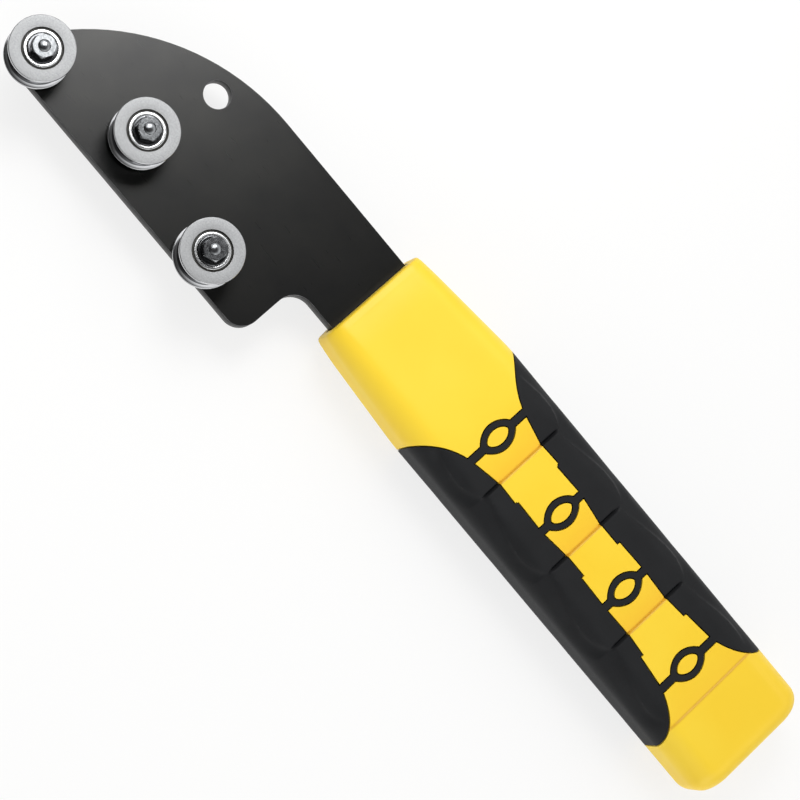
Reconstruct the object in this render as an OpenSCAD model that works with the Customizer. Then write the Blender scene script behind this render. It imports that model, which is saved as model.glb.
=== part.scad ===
// Hand wire straightener: a flat steel blade carries three U-grooved ball
// bearing rollers on studs, and its tang is moulded into a two-colour handle.
// Origin: centre of the hanging hole, halfway through the blade.
// +X runs along the tool to the handle's end, +Y to the blade's arched back,
// +Z out of the face that carries the rollers.

/* [Blade] */
// Width of the blade, from its straight edge to its back
blade_w = 42.6; // [40:0.1:46]
// Thickness of the blade's plate
blade_t = 4; // [3.5:0.1:5]
// Radius of the arched back
arch_r = 60; // [56:1:66]
// Diameter of the hanging hole
hole_d = 7; // [5:0.1:8]
// Hanging hole's centre to the blade's back
hole_edge_distance = 8.8; // [7:0.1:11]
// Along the tool, hanging hole's centre to the rear roller's axis
hole_to_rear_roller = 27.2; // [24:0.1:30]
// Along the tool, rear roller's axis to the blade's heel
heel_overhang = 19.6; // [16:0.1:23]
// Radius of the heel's outer corner
heel_r = 5; // [2:0.5:7]
// Width of the finger notch between the heel and the handle
notch_w = 13.4; // [11:0.1:16]
// Radius of the finger notch's inner corner
notch_r = 5.5; // [2:0.5:8]

/* [Tang] */
// Width of the tang's neck
tang_w = 24.2; // [22:0.1:25]
// Length of the neck inside the handle, up to the tang's shoulders
neck_len = 14; // [10:0.5:20]
// Width of the tang behind its shoulders
tail_w = 15; // [12:0.5:18]
// Length of the whole tang inside the handle
tang_len = 96; // [80:1:110]
// Diameter of the locking holes that the handle's plastic fills
lock_hole_d = 7; // [5:0.5:9]
// Number of locking holes
lock_hole_count = 3; // [1:1:4]

/* [Rollers] */
// Diameter of the rollers over their rims
roller_d = 16; // [14.5:0.1:17.5]
// Width of the rollers' outer rings
roller_w = 8.5; // [8.2:0.1:9.5]
// Depth of the wire groove below the rims
groove_depth = 2.6; // [2.2:0.1:2.7]
// Width of each rim at the roller's outside
rim_w = 0.85; // [0.6:0.05:1.1]
// Radius on the rims' outer edges
rim_edge_r = 0.3; // [0.1:0.05:0.35]
// Along the tool, front roller's axis to the middle one's
front_pitch = 29.8; // [28:0.1:33]
// Along the tool, middle roller's axis to the rear one's
rear_pitch = 31; // [28:0.1:33]
// Distance of the middle roller's axis inside the line of the other two
middle_offset = 6.6; // [4:0.1:9]
// Distance of the outer rollers' axes from the blade's straight edge
roller_edge_distance = 5.4; // [5.2:0.1:7]

/* [Bearings] */
// Bore of the inner rings
bearing_bore = 5; // [4.6:0.1:5.2]
// Outside diameter of the inner rings
inner_land_d = 7.2; // [7:0.05:7.3]
// Bore of the outer rings between the ball tracks
outer_land_d = 8.8; // [8.7:0.05:9]
// How far the inner rings stand out beyond the outer rings on each side
inner_ring_proud = 0.25; // [0.15:0.05:0.4]
// Chamfer on the inner rings' outer edges
ring_chamfer = 0.2; // [0.1:0.05:0.3]
// Diameter of the balls
ball_d = 1.6; // [1.5:0.05:1.7]
// Number of balls in a row
ball_count = 9; // [6:1:10]
// Distance of each row of balls from the middle of the roller
ball_row_offset = 1.9; // [1.6:0.05:2.1]
// Running clearance between a ball and its tracks
ball_clearance = 0.05; // [0.03:0.01:0.08]
// Running clearance between a cage and the rings beside it
cage_clearance = 0.1; // [0.06:0.01:0.15]
// Thickness of the cages' backs behind their pockets
cage_back = 0.3; // [0.2:0.05:0.6]
// How far the cages' fingers reach past the middle of the balls
cage_finger = 0.45; // [0.3:0.05:0.6]
// Thickness of the pressed shields' sheet
shield_t = 0.25; // [0.2:0.01:0.3]
// Outside diameter of the shields
shield_d = 9.9; // [9.7:0.05:10.1]
// Depth of the shields' seats below the rollers' faces
shield_seat = 0.65; // [0.6:0.01:0.75]
// Width of the sunk rim round each shield's raised disc
shield_rim = 0.45; // [0.35:0.05:0.5]
// Depth of each shield's raised disc below the roller's face
shield_recess = 0.1; // [0.05:0.01:0.15]
// Running clearance between each shield and the inner ring
shield_clearance = 0.1; // [0.06:0.01:0.15]

/* [Studs and nuts] */
// Diameter of the studs' domed heads
head_d = 9.5; // [8:0.1:10.5]
// Height of the heads, dome included
head_h = 1.4; // [1.2:0.05:1.8]
// Height of the straight rim below the dome
head_rim_h = 0.6; // [0.4:0.05:0.8]
// Slip fit between a stud and each hole that it passes through
stud_fit = 0.04; // [0.02:0.01:0.08]
// Diameter of the studs' threaded ends
stud_end_d = 3; // [2.5:0.1:3.4]
// How far the studs' ends stand out of their nuts
stud_end_proud = 0.4; // [0.2:0.05:0.8]
// How far the studs' shanks stop short of the end nuts
stud_shoulder = 0.3; // [0.1:0.05:0.6]
// Width across flats of the thin nuts between blade and rollers
spacer_af = 7.5; // [7:0.1:8]
// Height of the thin nuts
spacer_h = 1.65; // [1:0.05:2]
// Width across flats of the end nuts
end_nut_af = 5.3; // [4.8:0.1:5.8]
// Height of the end nuts
end_nut_h = 2.6; // [2:0.05:3.2]
// Angle of the cones that turn down the nuts' corners
nut_chamfer_angle = 30; // [20:1:45]
// Turn of the front, middle and rear roller's nuts, in degrees
nut_turns = [8, 38, 22];

/* [Handle] */
// Length of the handle
handle_len = 147.3; // [140:0.1:155]
// Width of the handle
handle_w = 36; // [33:0.5:38]
// Thickness of the handle
handle_t = 20; // [18:0.5:23]
// Radius of the handle's long edges
handle_edge_r = 7; // [6:0.5:9]
// How far the handle's body lies off the tang's axis, towards the blade's back
body_shift = 0.4; // [0:0.1:0.8]
// Width of the handle's front end
front_w = 30.4; // [29:0.1:32]
// Thickness of the handle's front end
front_t = 15.5; // [14:0.5:18]
// Radius of the front end's corners
front_edge_r = 4.5; // [3:0.5:6]
// Radius round the mouth of the front end
front_lip_r = 0.8; // [0.4:0.1:1.2]
// Length over which the handle thickens most, behind its front end
throat_len = 6; // [4:0.5:9]
// Width of the handle behind its throat
throat_w = 31.9; // [30:0.1:34]
// Thickness of the handle behind its throat
throat_t = 17.4; // [16:0.1:18]
// Radius of the handle's long edges behind its throat
throat_edge_r = 5.5; // [4:0.5:6]
// Length over which the handle widens from its front end
flare_len = 31.5; // [25:0.5:36]
// Radius round the handle's rear end
rear_r = 5; // [3:0.5:7]
// How far the rear end bulges past its corners
rear_bulge = 1.2; // [0.6:0.1:2]
// Depth of the socket's wide mouth
mouth_depth = 5; // [3:0.5:8]
// Gap round the tang in the mouth
mouth_gap = 1.2; // [0.6:0.1:1.6]
// Width of the two relief slits across the mouth
slit_w = 0.8; // [0.5:0.1:1.2]
// Distance of each slit from the handle's axis
slit_offset = 9.8; // [8:0.1:11]
// How far the slits reach past the mouth
slit_reach = 0.9; // [0.5:0.1:1.5]

/* [Grip] */
// Thickness of the soft grip over the core
grip_depth = 2; // [1.2:0.1:3]
// Front end of the grip, from the handle's front
grip_start = 31; // [28:0.5:34]
// Rear end of the grip, from the handle's front
grip_end = 129.5; // [127:0.5:134]
// First link's centre, from the handle's front
first_link = 45.1; // [43:0.1:47]
// Distance between links
link_pitch = 24.2; // [22:0.1:25]
// Half width of the bare strip at the first and last link
strip_end = 9; // [8:0.1:10]
// Half width of the bare strip halfway along
strip_middle = 6.6; // [6:0.1:8]
// Along the handle, grip's front end to the bend of its front edge
front_bend_x = 5.5; // [3:0.5:9]
// Distance of that bend from the handle's axis
front_bend_y = 11.5; // [10:0.5:13]
// Along the handle, bend of the grip's rear edge to its rear end
rear_bend_x = 1; // [0:0.5:3]
// Distance of that bend from the handle's axis
rear_bend_y = 12.5; // [10:0.5:14]
// Height of the teeth along the strip's edges
tooth = 0.8; // [0.3:0.1:1.2]
// Length of the teeth behind each crease
tooth_len = 6.3; // [4:0.1:8]
// Length of a link's ring across the handle
ring_len = 11.2; // [10:0.1:12.5]
// Width of a link's ring along the handle
ring_w = 7.2; // [6.5:0.1:8]
// Length of the ring's eye
eye_len = 7; // [6:0.1:8]
// Width of the ring's eye
eye_w = 3.5; // [3:0.1:4.5]
// Width of the stems that join the rings to the grip
stem_w = 2.1; // [1.5:0.1:3]
// Distance from each link to the crease behind it
crease_offset = 8.6; // [7:0.1:10]
// Depth of the creases
crease_depth = 0.6; // [0.3:0.05:0.9]
// Length of the hollow that runs down to each crease
hollow_len = 15; // [10:0.5:20]

/* [Hidden] */
sides = ["front", "middle", "rear"];

// The blade
back_y = hole_edge_distance;
edge_y = back_y - blade_w;
roller_line_y = edge_y + roller_edge_distance;
roller_places = [
    [hole_to_rear_roller - rear_pitch - front_pitch, roller_line_y],
    [hole_to_rear_roller - rear_pitch, roller_line_y + middle_offset],
    [hole_to_rear_roller, roller_line_y]
];
tip = roller_places[0];
tip_overlap = 0.01;
tip_r = roller_edge_distance + tip_overlap;
arch_y = back_y - arch_r;
arch_x = tip.x + sqrt(pow(arch_r - roller_edge_distance, 2) - pow(tip.y - arch_y, 2));
tip_turn = atan2(tip.y - arch_y, tip.x - arch_x);
heel_x = hole_to_rear_roller + heel_overhang;
notch_y = back_y - tang_w;
handle_x = heel_x + notch_w;
handle_y = back_y - tang_w / 2;
tang_end = handle_x + tang_len;
lock_hole_pitch = (tang_len - neck_len) / lock_hole_count;

// How far a cut runs on past the face that it opens
overcut = 1;

// The rollers and their bearings, stacked up from the blade
spacer_z = blade_t / 2;
bearing_z = spacer_z + spacer_h;
inner_ring_w = roller_w + 2 * inner_ring_proud;
roller_z = bearing_z + inner_ring_w / 2;
end_nut_z = bearing_z + inner_ring_w;
stud_hole_r = bearing_bore / 2;
stud_r = stud_hole_r - stud_fit;
stud_end_r = stud_end_d / 2;
groove_mouth = roller_w / 2 - rim_w;
groove_r = (pow(groove_mouth, 2) + pow(groove_depth, 2)) / (2 * groove_depth);
groove_centre = roller_d / 2 - groove_depth + groove_r;
ball_circle_r = (inner_land_d + outer_land_d) / 4;
track_r = ball_d / 2 + ball_clearance;
head_dome_h = head_h - head_rim_h;
head_dome_r = (pow(head_d / 2, 2) + pow(head_dome_h, 2)) / (2 * head_dome_h);
end_dome_r = (pow(stud_end_r, 2) + pow(stud_end_proud, 2)) / (2 * stud_end_proud);

// The handle, in its own place: x from its front end, y from its axis
link_count = 4;
links = [for (i = [0 : link_count - 1]) first_link + i * link_pitch];
last_link = links[link_count - 1];
creases = [for (x = links) x + crease_offset];
strip_centre = (first_link + last_link) / 2;
strip_span = (last_link - first_link) / 2;
hollow_r = (pow(hollow_len, 2) + pow(crease_depth, 2)) / (2 * crease_depth);
outside = handle_w;
corner_steps = 8;
bend_steps = 8;
lip_steps = 3;
rear_steps = 5;
rear_cap_steps = 2;
rear_flat = 0.5;

$fn = 64;

// Half width of the bare strip at x
function strip_half(x) =
    strip_middle + (strip_end - strip_middle) * pow((x - strip_centre) / strip_span, 2);

// Points of a curve from a to c, pulled towards b
function bend(a, b, c, steps = bend_steps) =
    [for (i = [0 : steps]) let (t = i / steps) pow(1 - t, 2) * a + 2 * t * (1 - t) * b + t * t * c];

// Points round a rectangle with round corners, from the +x side towards +y
function round_rect_points(w, h, r) =
    [for (corner = [0 : 3], k = [0 : corner_steps]) let (
        turn = 90 * (corner + k / corner_steps),
        side = [corner == 0 || corner == 3 ? 1 : -1, corner < 2 ? 1 : -1]
    ) [side.x * (w / 2 - r) + r * cos(turn), side.y * (h / 2 - r) + r * sin(turn)]];

// ---- Shapes used by several pieces ----

// What a round corner of radius r removes from a square one at the origin
module corner_waste(r) {
    difference() {
        translate([-r, -r]) square(2 * r);
        translate([-r, -r]) circle(r);
    }
}

// A solid through round-cornered sections square to the X axis
module loft(sections) {
    ring = 4 * (corner_steps + 1);
    last = len(sections) - 1;
    polyhedron(
        points = [for (s = sections, p = round_rect_points(s[2], s[3], s[4]))
            [s[0], s[1] + p.x, p.y]],
        faces = concat(
            [[for (k = [0 : ring - 1]) k]],
            [[for (k = [ring - 1 : -1 : 0]) last * ring + k]],
            [for (j = [0 : last - 1], k = [0 : ring - 1]) let (
                a = j * ring + k,
                b = j * ring + (k + 1) % ring
            ) each [[a, a + ring, b], [b, a + ring, b + ring]]]
        )
    );
}

// A pointed oval, w wide and len long
module lens(w, len) {
    r = (pow(len, 2) + pow(w, 2)) / (4 * w);
    intersection() {
        translate([r - w / 2, 0]) circle(r);
        translate([w / 2 - r, 0]) circle(r);
    }
}

// A hexagonal nut blank, its corners turned down to a cone at both ends
module nut_blank(af, h, turn) {
    spread = h / tan(nut_chamfer_angle);
    intersection() {
        rotate(turn) cylinder(r = af / 2 / cos(30), h = h, $fn = 6);
        cylinder(r1 = af / 2 + spread, r2 = af / 2, h = h);
        cylinder(r1 = af / 2, r2 = af / 2 + spread, h = h);
    }
}

module at_roller(i) {
    translate(roller_places[i]) children();
}

module at_handle() {
    translate([handle_x, handle_y, 0]) children();
}

// ---- Blade ----

// The nose under the arch, rounded at its tip about the front roller's axis; the
// round end crosses the arch and the straight edge by tip_overlap
module nose_outline() {
    difference() {
        intersection() {
            translate([arch_x, arch_y]) circle(arch_r, $fn = 180);
            translate([tip.x - 3 * tip_r, edge_y]) square([arch_x - tip.x + 3 * tip_r, blade_w]);
        }
        translate(tip)
            polygon(4 * tip_r * [[0, 0], [cos(tip_turn), sin(tip_turn)], [-1, -1], [0, -1]]);
    }
    translate(tip) circle(tip_r);
}

// The body as far as the heel, with the finger notch behind it
module body_outline() {
    difference() {
        translate([arch_x, edge_y]) square([heel_x - arch_x, blade_w]);
        translate([heel_x, edge_y]) mirror([0, 1]) corner_waste(heel_r);
    }
    translate([heel_x, notch_y]) mirror([1, 0]) corner_waste(notch_r);
}

// The tang as it lies in the handle
module tang_outline() {
    translate([handle_x, notch_y]) square([neck_len, tang_w]);
    translate([handle_x, handle_y - tail_w / 2]) square([tang_len - tail_w / 2, tail_w]);
    translate([tang_end - tail_w / 2, handle_y]) circle(tail_w / 2);
}

module lock_holes() {
    for (i = [0 : lock_hole_count - 1]) {
        translate([handle_x + neck_len + (i + 0.5) * lock_hole_pitch, handle_y])
            circle(lock_hole_d / 2);
    }
}

module blade() {
    color("#242424")
    translate([0, 0, -blade_t / 2])
    linear_extrude(blade_t)
    difference() {
        union() {
            nose_outline();
            body_outline();
            translate([heel_x, notch_y]) square([notch_w, tang_w]);
            tang_outline();
        }
        circle(hole_d / 2);
        for (i = [0 : 2]) {
            at_roller(i) circle(stud_hole_r);
        }
        lock_holes();
    }
}

// ---- Handle ----

// A cross-section of the handle as [x, shift, width, thickness, corner radius], sunk
// below the nominal size by sink and drawn in by inset
function section(x, shift, w, t, r, sink, inset) =
    [x, shift, w - 2 * (sink + inset), t - 2 * (sink + inset), r - inset];

// Rounded mouth of the front end
function front_sections(inset) =
    [for (i = [0 : lip_steps]) let (turn = 90 * i / lip_steps)
        section(inset + front_lip_r * (1 - cos(turn)), 0, front_w, front_t, front_edge_r,
            front_lip_r * (1 - sin(turn)), inset)];

// Rounded rear end, where the long edges tighten as the section thins
function rear_sections(inset) =
    [for (i = [0 : rear_steps]) let (turn = 90 * i / rear_steps, sink = rear_r * (1 - cos(turn)))
        section(handle_len - rear_bulge - inset - rear_r * (1 - sin(turn)), body_shift, handle_w,
            handle_t, handle_edge_r * (1 - 2 * sink / handle_t), sink, inset)];

// Front end, throat, flare, straight stretch and rear end
function handle_sections(inset) = concat(
    front_sections(inset),
    [section(throat_len, 0, throat_w, throat_t, throat_edge_r, 0, inset)],
    [section(flare_len, body_shift, handle_w, handle_t, handle_edge_r, 0, inset)],
    rear_sections(inset)
);

// Shallow dome on the rear end, flat in the middle
function rear_cap() =
    [for (i = [1 : rear_cap_steps]) let (
        share = 1 - (1 - rear_flat) * i / rear_cap_steps,
        rise = (1 - pow(share, 2)) / (1 - pow(rear_flat, 2)),
        t = share * (handle_t - 2 * rear_r)
    ) [handle_len - rear_bulge * (1 - rise), body_shift, share * (handle_w - 2 * rear_r), t,
        handle_edge_r * t / handle_t]];

// The handle's whole outer form
module handle_form() {
    loft(concat(handle_sections(0), rear_cap()));
}

// The core that runs on under the grip
module inner_core() {
    loft(handle_sections(grip_depth));
}

// The hollows that run down to each crease on the upper and lower face
module hollows() {
    for (x = creases, side = [-1, 1]) {
        translate([x, 0, side * (handle_t / 2 - crease_depth + hollow_r)])
        rotate([90, 0, 0])
        intersection() {
            cylinder(r = hollow_r, h = outside, center = true, $fn = 180);
            translate([-2 * hollow_len, -hollow_r, -outside / 2])
                cube([2 * hollow_len, 2 * hollow_r, outside]);
        }
    }
}

// Outline of the grip on one side of the bare strip, 1 for +y and -1 for -y
module grip_side_outline(side) {
    strip_edge = [for (i = [0 : link_count - 2]) each [
        [creases[i], strip_half(creases[i]) - tooth],
        [creases[i] + tooth_len, strip_half(creases[i] + tooth_len) - tooth],
        [creases[i] + tooth_len, strip_half(creases[i] + tooth_len)],
        [links[i + 1], strip_half(links[i + 1])]
    ]];
    side_y = handle_w / 2 + body_shift + overcut;
    outline = concat(
        bend([grip_start, side_y], [grip_start + front_bend_x, front_bend_y], [first_link, strip_end]),
        strip_edge,
        bend([last_link, strip_end], [grip_end - rear_bend_x, rear_bend_y], [grip_end, side_y])
    );
    polygon([for (p = outline) [p.x, side * p.y]]);
}

// One ring and its stems, across the bare strip
module link_outline(x) {
    translate([x, 0])
    difference() {
        union() {
            lens(ring_w, ring_len);
            square([stem_w, outside], center = true);
        }
        lens(eye_w, eye_len);
    }
}

// An outline seen from above, carried right through the handle
module through_handle() {
    translate([0, 0, -handle_t]) linear_extrude(2 * handle_t) children();
}

// Everything that lies under the grip's outline
module grip_prism() {
    for (side = [-1, 1]) {
        through_handle() grip_side_outline(side);
    }
    for (x = links) {
        through_handle() link_outline(x);
    }
}

// The socket's wide mouth round the tang, with its relief slits
module mouth() {
    depth = mouth_depth + overcut;
    half_t = blade_t / 2 + mouth_gap;
    translate([-overcut, -tang_w / 2 - mouth_gap / 2, -half_t])
        cube([depth, tang_w + mouth_gap, 2 * half_t]);
    for (side = [-1, 1]) {
        translate([-overcut, side * slit_offset - slit_w / 2, -half_t - slit_reach])
            cube([depth, slit_w, 2 * (half_t + slit_reach)]);
    }
}

// The plastic that the tang displaces, less the plugs in its locking holes
module tang_socket() {
    translate([0, 0, -blade_t / 2])
    linear_extrude(blade_t)
    difference() {
        tang_outline();
        lock_holes();
    }
}

module handle_core() {
    color("#f9cf2b")
    difference() {
        at_handle() {
            inner_core();
            difference() {
                handle_form();
                grip_prism();
                hollows();
            }
        }
        at_handle() mouth();
        tang_socket();
    }
}

module handle_grip() {
    color("#2c2d30")
    at_handle()
    difference() {
        intersection() {
            handle_form();
            grip_prism();
        }
        inner_core();
        hollows();
    }
}

// ---- Rollers ----

// Stud: domed head behind the blade, smooth shank, thinner threaded end
module stud(i) {
    color("#b9bbbd")
    at_roller(i) {
        intersection() {
            translate([0, 0, -blade_t / 2 - head_h]) cylinder(r = head_d / 2, h = head_h);
            translate([0, 0, -blade_t / 2 - head_h + head_dome_r]) sphere(head_dome_r, $fn = 180);
        }
        translate([0, 0, -blade_t / 2])
            cylinder(r = stud_r, h = end_nut_z + blade_t / 2 - stud_shoulder);
        translate([0, 0, end_nut_z - stud_shoulder])
            cylinder(r = stud_end_r - stud_fit, h = stud_shoulder + end_nut_h);
        intersection() {
            translate([0, 0, end_nut_z + end_nut_h])
                cylinder(r = stud_end_r - stud_fit, h = stud_end_proud);
            translate([0, 0, end_nut_z + end_nut_h + stud_end_proud - end_dome_r])
                sphere(end_dome_r);
        }
    }
}

// Thin nut that locks the stud and holds the roller off the blade
module spacer_nut(i) {
    color("#a89c74")
    at_roller(i)
    translate([0, 0, spacer_z])
    difference() {
        nut_blank(spacer_af, spacer_h, nut_turns[i]);
        translate([0, 0, -overcut]) cylinder(r = stud_hole_r, h = spacer_h + 2 * overcut);
    }
}

module end_nut(i) {
    color("#b9bbbd")
    at_roller(i)
    translate([0, 0, end_nut_z])
    difference() {
        nut_blank(end_nut_af, end_nut_h, nut_turns[i]);
        translate([0, 0, -overcut]) cylinder(r = stud_end_r, h = end_nut_h + 2 * overcut);
    }
}

// The two tracks that the balls run in, as they cut a ring's section
module track_section() {
    for (side = [-1, 1]) {
        translate([ball_circle_r, side * ball_row_offset]) circle(track_r);
    }
}

module inner_ring(i) {
    color("#c4c6c8")
    at_roller(i)
    translate([0, 0, roller_z])
    rotate_extrude()
    difference() {
        translate([stud_hole_r, -inner_ring_w / 2])
            square([inner_land_d / 2 - stud_hole_r, inner_ring_w]);
        track_section();
        for (end = [0, 1]) {
            mirror([0, end])
            translate([inner_land_d / 2, inner_ring_w / 2])
            polygon(ring_chamfer * [[-1, 0], [1, 0], [1, -2], [0, -1]]);
        }
    }
}

// Outer ring: the U-grooved roller itself
module roller(i) {
    color("#c9cbce")
    at_roller(i)
    translate([0, 0, roller_z])
    rotate_extrude($fn = 96)
    difference() {
        translate([outer_land_d / 2, -roller_w / 2])
            square([(roller_d - outer_land_d) / 2, roller_w]);
        translate([groove_centre, 0]) circle(groove_r, $fn = 128);
        track_section();
        for (end = [0, 1]) {
            mirror([0, end]) {
                translate([roller_d / 2, roller_w / 2]) corner_waste(rim_edge_r);
                translate([0, roller_w / 2 - shield_seat])
                    square([shield_d / 2, shield_seat + overcut]);
            }
        }
    }
}

// Pressed steel shield; side is 1 on the nut side and -1 on the blade side
module shield(i, side) {
    disc_r = shield_d / 2 - shield_rim;
    disc_bore_r = inner_land_d / 2 + shield_clearance;
    color("#a9abad")
    at_roller(i)
    translate([0, 0, roller_z])
    mirror([0, 0, (1 - side) / 2])
    rotate_extrude() {
        translate([disc_r - shield_t, roller_w / 2 - shield_seat])
            square([shield_rim + shield_t, shield_t]);
        translate([disc_r - shield_t, roller_w / 2 - shield_seat])
            square([shield_t, shield_seat - shield_recess]);
        translate([disc_bore_r, roller_w / 2 - shield_recess - shield_t])
            square([disc_r - disc_bore_r, shield_t]);
    }
}

// Places of the balls about a roller's middle
module each_ball() {
    for (row = [-1, 1], k = [0 : ball_count - 1]) {
        rotate(360 / ball_count * (k + (row + 1) / 4))
        translate([ball_circle_r, 0, row * ball_row_offset])
        children();
    }
}

module balls(i) {
    color("#dcdee0")
    at_roller(i)
    translate([0, 0, roller_z])
    each_ball() sphere(ball_d / 2, $fn = 32);
}

// Two crown cages, back to back, each with its fingers round one row of balls
module ball_cages(i) {
    cage_in = inner_land_d / 2 + cage_clearance;
    cage_out = outer_land_d / 2 - cage_clearance;
    cage_root = ball_row_offset - track_r - cage_back;
    color("#d8cfae")
    at_roller(i)
    translate([0, 0, roller_z])
    difference() {
        rotate_extrude()
        for (end = [0, 1]) {
            mirror([0, end])
            translate([cage_in, cage_root])
            square([cage_out - cage_in, ball_row_offset + cage_finger - cage_root]);
        }
        each_ball() sphere(track_r, $fn = 32);
    }
}

blade();
handle_core();
handle_grip();
for (i = [0 : 2]) {
    stud(i);
    spacer_nut(i);
    inner_ring(i);
    balls(i);
    ball_cages(i);
    roller(i);
    shield(i, -1);
    shield(i, 1);
    end_nut(i);
}
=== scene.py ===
"""Looks of the wire straightener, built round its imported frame: a black steel blade with
three grooved ball-bearing rollers, and a yellow handle with black soft grips."""

import math

import bmesh
import bpy
from mathutils import Matrix, Vector


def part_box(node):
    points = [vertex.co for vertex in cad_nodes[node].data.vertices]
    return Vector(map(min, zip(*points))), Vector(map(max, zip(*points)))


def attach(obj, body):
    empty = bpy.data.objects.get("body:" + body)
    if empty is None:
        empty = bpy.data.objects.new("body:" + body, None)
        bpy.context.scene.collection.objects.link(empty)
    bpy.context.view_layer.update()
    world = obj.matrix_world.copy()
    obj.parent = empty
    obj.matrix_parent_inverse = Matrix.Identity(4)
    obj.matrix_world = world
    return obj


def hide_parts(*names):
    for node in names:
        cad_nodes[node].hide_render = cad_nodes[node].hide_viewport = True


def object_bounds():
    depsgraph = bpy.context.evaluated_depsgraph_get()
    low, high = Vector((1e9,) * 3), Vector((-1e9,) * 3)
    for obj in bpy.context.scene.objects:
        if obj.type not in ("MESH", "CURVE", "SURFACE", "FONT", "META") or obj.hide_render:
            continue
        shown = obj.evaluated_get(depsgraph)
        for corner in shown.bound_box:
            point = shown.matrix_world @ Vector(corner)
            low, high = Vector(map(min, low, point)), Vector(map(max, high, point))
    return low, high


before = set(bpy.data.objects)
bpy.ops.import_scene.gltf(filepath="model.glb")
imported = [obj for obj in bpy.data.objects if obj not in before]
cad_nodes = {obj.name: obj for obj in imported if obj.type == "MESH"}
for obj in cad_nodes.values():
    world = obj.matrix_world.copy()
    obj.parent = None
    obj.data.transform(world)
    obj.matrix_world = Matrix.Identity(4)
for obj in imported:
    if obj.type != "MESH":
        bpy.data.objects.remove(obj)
cad_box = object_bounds()

MM = 0.001
SIDES = ("front", "middle", "rear")
scene = bpy.context.scene


# ---- Sizes in mm: blade and handle ----

BLADE_T = 4.0
BLADE_BACK_Y = 8.8
BLADE_EDGE = 0.25
TANG_W = 24.2

HANDLE_LEN = 147.3
HANDLE_W, HANDLE_T, HANDLE_EDGE = 36.0, 20.0, 7.0
BODY_SHIFT = 0.4
FRONT_W, FRONT_T, FRONT_EDGE, FRONT_LIP = 30.4, 15.5, 4.5, 0.8
THROAT = (6.0, 31.9, 17.4, 5.5)
FLARE_LEN = 31.5
BEND_EASE = 2.5
REAR_R, REAR_BULGE = 5.0, 1.2
REAR_X = HANDLE_LEN - REAR_BULGE - REAR_R
DOME_SHARES = (0.93, 0.8, 0.6, 0.35)
MOUTH_DEPTH, MOUTH_GAP, MOUTH_EDGE = 5.0, 1.2, 0.4
SLIT_W, SLIT_OFFSET, SLIT_REACH = 0.8, 9.8, 0.9
CUT_OVERSHOOT = 2.0

GRIP_DEPTH = 2.0
GRIP_START, GRIP_END = 31.0, 129.5
FRONT_PULL, REAR_PULL = (5.5, 11.5), (-1.0, 12.5)
SEAM = 0.16
FIRST_LINK, LINK_PITCH, LINK_COUNT = 45.1, 24.2, 4
STRIP_END, STRIP_MIDDLE = 9.0, 6.6
TOOTH, TOOTH_LEN = 0.8, 6.3
RING_LEN, RING_W, RING_FULLNESS = 11.2, 7.2, 0.75
EYE_LEN, EYE_W, EYE_FULLNESS = 6.8, 3.9, 0.62
STEM_W, STEM_REACH = 2.1, 11.0

CREASE_OFFSET, CREASE_DEPTH, CREASE_STEP = 8.6, 0.6, 0.7
LAST_CREASE_SHARE = 0.45
# The painted shaded line at each crease of the yellow: its offset behind the crease, fade and
# strength.
LINE_OFFSET, LINE_FADE, LINE_SHARE, LAST_LINE_SHARE = 0.15, (0.1, 0.6), 0.75, 0.6
HOLLOW_LEN = 15.0
CUT_DEPTH, CUT_HALF_W = 0.55, 0.45
CUT_INSIDE, CUT_OUTSIDE, CUT_FADE_IN, CUT_FADE_OUT = 1.6, 5.2, 0.8, 1.6
PAD_EDGE, PAD_BULGE, PAD_DEPTH = 12.2, 3.6, 0.5
PADS_BEGIN, PADS_END = (35.5, 40.0), (120.0, 126.0)
VALLEY_RISE, VALLEY_FALL = (-0.4, 0.5), (0.8, 5.0)

# Points higher than FACE_Z belong to the upper face, and likewise below.
FACE_Z, FACE_MARGIN = 6.0, 0.4
STATION_STEP, STATION_GAP = 0.7, 0.18
CREASE_STATIONS = (-0.5, -0.3, -0.15, 0, 0.15, 0.3, 0.5, 0.75, 1)
PLAIN_STATIONS = (0, 0.3, 0.8, 3, 6, 12, 20, 31.5, 60, 100, 139, 141, 143, 144.5, 145.3)
OUTER_STEPS, PLAIN_STEPS = (44, 18, 8), (8, 4, 4)

LINKS = [FIRST_LINK + LINK_PITCH * i for i in range(LINK_COUNT)]
CREASES = [x + CREASE_OFFSET for x in LINKS]
KNOTS = [(0.0, FRONT_W, FRONT_T, FRONT_EDGE, 0.0), (*THROAT, 0.0),
         (FLARE_LEN, HANDLE_W, HANDLE_T, HANDLE_EDGE, BODY_SHIFT),
         (HANDLE_LEN, HANDLE_W, HANDLE_T, HANDLE_EDGE, BODY_SHIFT)]


# ---- Sizes in mm: rollers ----

# The ring is drawn 0.01 mm small, so that its facets stay inside the solid's box.
ROLLER_R, ROLLER_W = 7.99, 8.5
GROOVE_DEPTH, RIM_W, RIM_ROUND = 2.6, 0.85, 0.3
INNER_LAND_R, OUTER_LAND_R = 3.6, 4.4
BALL_CIRCLE_R, BALL_ROW, TRACK_R = 4.0, 1.9, 0.85
BORE_R, RING_PROUD, RING_ROUND = 2.5, 0.25, 0.22
SHIELD_R, SHIELD_SEAT, SHIELD_T = 4.95, 0.65, 0.25
SHIELD_BORE_R, SHIELD_RIM, SHIELD_SUNK, SHIELD_ROUND = 3.7, 0.45, 0.1, 0.18
STUD_HEAD_R, STUD_DOME_H, STUD_RIM_H = 4.75, 0.8, 0.6
STUD_SHANK_R, STUD_END_R, STUD_BREAK = 2.46, 1.46, 0.1
STUD_END_LEN, STUD_NECK, THREAD_PITCH, THREAD_DEPTH = 3.3, 0.3, 0.5, 0.18
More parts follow.
